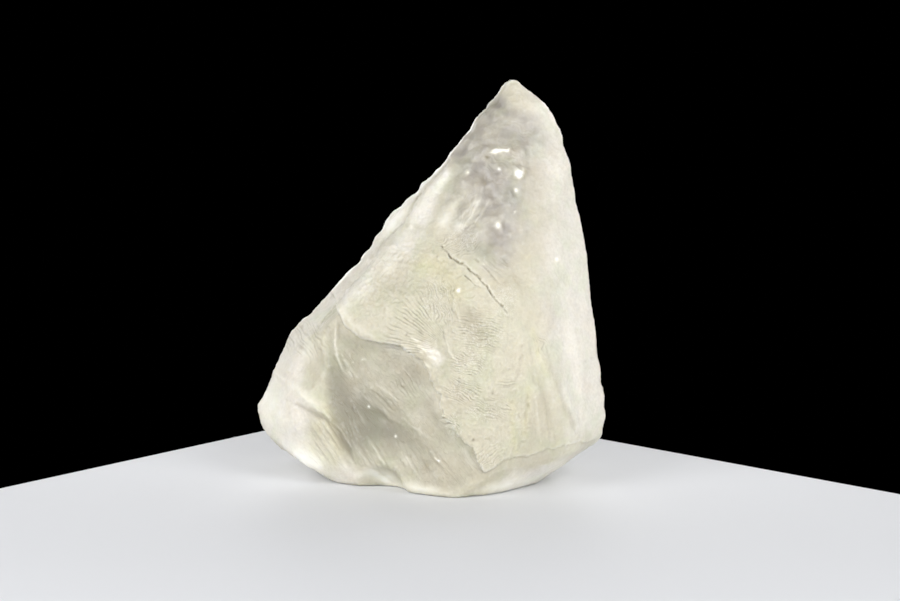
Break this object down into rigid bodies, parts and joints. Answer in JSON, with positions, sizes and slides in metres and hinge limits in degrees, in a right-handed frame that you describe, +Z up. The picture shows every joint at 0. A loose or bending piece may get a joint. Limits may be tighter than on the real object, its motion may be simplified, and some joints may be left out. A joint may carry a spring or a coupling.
{
  "type": "calcite crystal point",
  "caption": "Broken, water-worn calcite crystal point with a scooped front, a shell-like ledge and a smoky tip, standing on a flat break.",
  "frame": {"origin": "middle of the bounding box at the flat break that the crystal stands on", "axes": "+Z up to the tip, which is the longest extent; +X to the right in the picture's view; +Y away from the viewer, the shortest extent"},
  "size_m": [0.0584, 0.0388, 0.066],
  "materials": {
    "calcite": "milky, translucent, cream white with a faint yellow middle and a smoky tip, frosted by wear"
  },
  "bodies": {
    "root": {"crystal": "calcite"}
  },
  "joints": []
}
